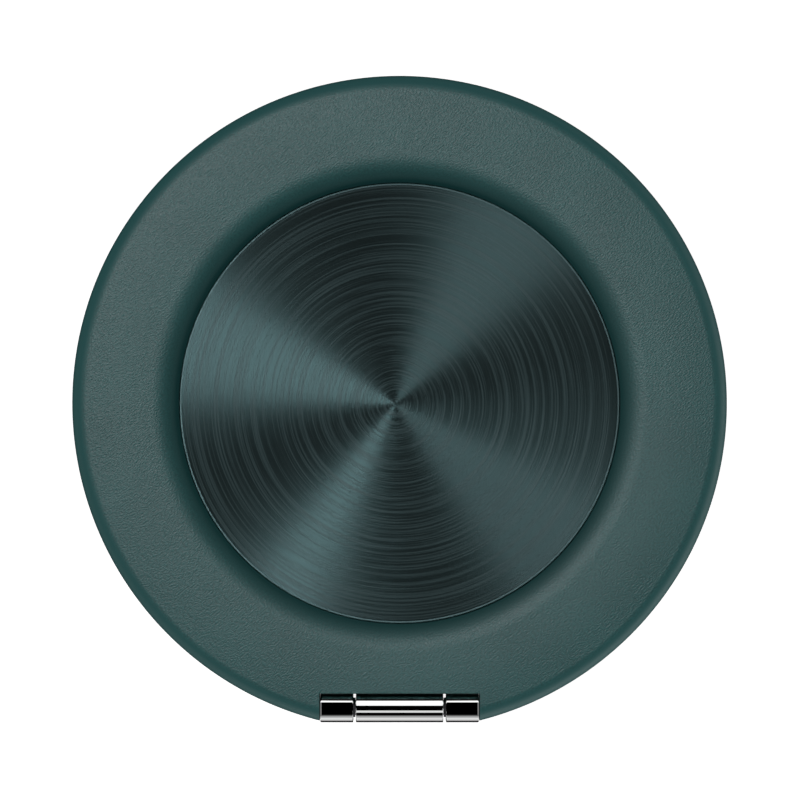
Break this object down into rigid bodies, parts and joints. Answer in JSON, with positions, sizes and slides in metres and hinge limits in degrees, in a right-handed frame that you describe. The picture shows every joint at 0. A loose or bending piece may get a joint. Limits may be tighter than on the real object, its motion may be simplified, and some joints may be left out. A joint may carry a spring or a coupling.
{
  "type": "folding magnetic phone stand",
  "caption": "Thin round folding stand that grips a phone magnetically: two leaves on a double-shaft friction hinge, with a leather ring round a spun metal disc.",
  "frame": {"origin": "centre of the phone face, the flat ring-shaped pad that touches the phone, at Z = 0", "axes": "+Z from the phone face through both folded leaves to the leather and the spun disc; the hinge is at -Y and its two shafts lie along X"},
  "size_m": [0.06, 0.0592, 0.0062],
  "materials": {
    "anodised_alloy": "fine bead-blasted, anodised dark teal green",
    "anodised_plate": "fine brushed, anodised dark teal green",
    "spun_aluminium": "lathe-spun concentric lines, anodised dark teal green, chamfered edge",
    "leather_skin": "fine-grained matt leather, dark teal green",
    "phone_pad": "matt silicone, very fine texture",
    "bumper_rubber": "matt black rubber",
    "polished_chrome": "mirror-polished plating",
    "ground_steel": "ground steel shaft",
    "spring_steel": "hardened spring strip, greased",
    "dark_steel": "black-oxide steel",
    "mild_steel": "zinc-plated sheet",
    "nickel_magnet": "nickel-plated sintered magnet",
    "adhesive_film": "double-sided adhesive film"
  },
  "bodies": {
    "base": {"base_frame": "anodised_alloy", "base_inner_cover": "anodised_plate", "base_cover_adhesive": "adhesive_film", "yoke_ring": "mild_steel", "magnet_ring": "nickel_magnet", "phone_pad": "phone_pad", "base_center_plate": "anodised_plate", "center_plate_adhesive": "adhesive_film", "lower_hinge_bracket": "polished_chrome", "lower_bracket_screws": "dark_steel", "lower_shaft": "ground_steel", "lower_end_caps": "polished_chrome", "lower_thrust_washers": "dark_steel"},
    "link": {"link_block": "polished_chrome", "lower_friction_clips": "spring_steel", "upper_friction_clips": "spring_steel"},
    "stand": {"stand_frame": "anodised_alloy", "stand_inner_cover": "anodised_plate", "stand_cover_adhesive": "adhesive_film", "keeper_ring": "mild_steel", "stand_leather": "leather_skin", "spun_disc": "spun_aluminium", "disc_adhesive": "adhesive_film", "bumper_dots": "bumper_rubber", "upper_hinge_bracket": "polished_chrome", "upper_bracket_screws": "dark_steel", "upper_shaft": "ground_steel", "upper_end_caps": "polished_chrome", "upper_thrust_washers": "dark_steel"}
  },
  "joints": [
    {"name": "link_pivot", "type": "hinge", "parent": "base", "child": "link", "pos_m": [0, -0.02794, 0.0015], "axis": [1, 0, 0], "range_deg": [0, 180]},
    {"name": "stand_pivot", "type": "hinge", "parent": "link", "child": "stand", "pos_m": [0, -0.02794, 0.0047], "axis": [1, 0, 0], "range_deg": [0, 180]}
  ]
}
